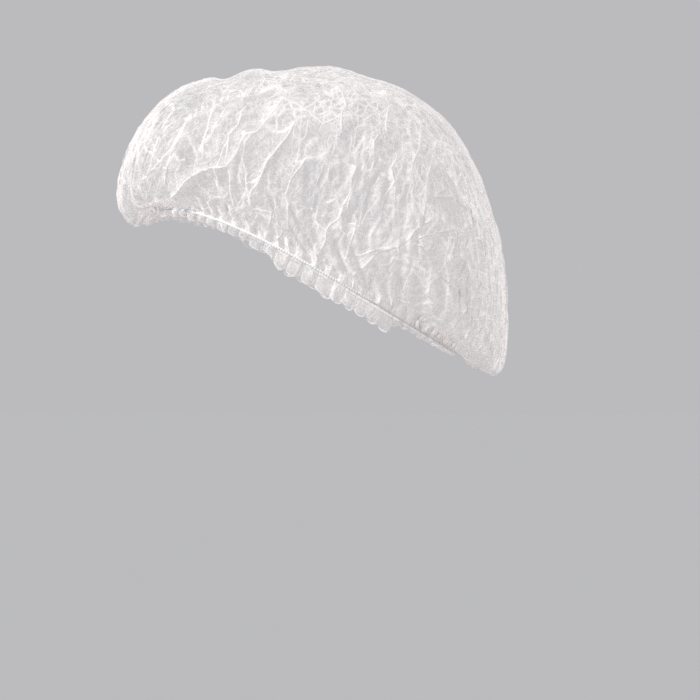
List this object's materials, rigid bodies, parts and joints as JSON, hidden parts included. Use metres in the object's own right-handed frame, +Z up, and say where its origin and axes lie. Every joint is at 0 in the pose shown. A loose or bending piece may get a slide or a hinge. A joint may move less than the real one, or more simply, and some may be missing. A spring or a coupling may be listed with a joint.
{
  "type": "disposable hair cover cap",
  "caption": "Thin see-through nonwoven bouffant cap with an elastic opening and a gathered frill, kept in the form it has when worn.",
  "frame": {"origin": "middle of the head opening, where the head fills it", "axes": "-X to the forehead and +X to the nape, -Y to the wearer's left, +Z up; the opening slopes down to the nape at 24 degrees"},
  "size_m": [0.2298, 0.1951, 0.1823],
  "materials": {
    "nonwoven": "thin see-through white spunbond polypropylene, matt, creased",
    "elastic": "narrow white ribbed elastic, matt",
    "frill_nonwoven": "the crown's nonwoven, doubled by its gathers, matt"
  },
  "bodies": {
    "root": {"crown": "nonwoven", "elastic_band": "elastic", "hem_frill": "frill_nonwoven"}
  },
  "joints": []
}
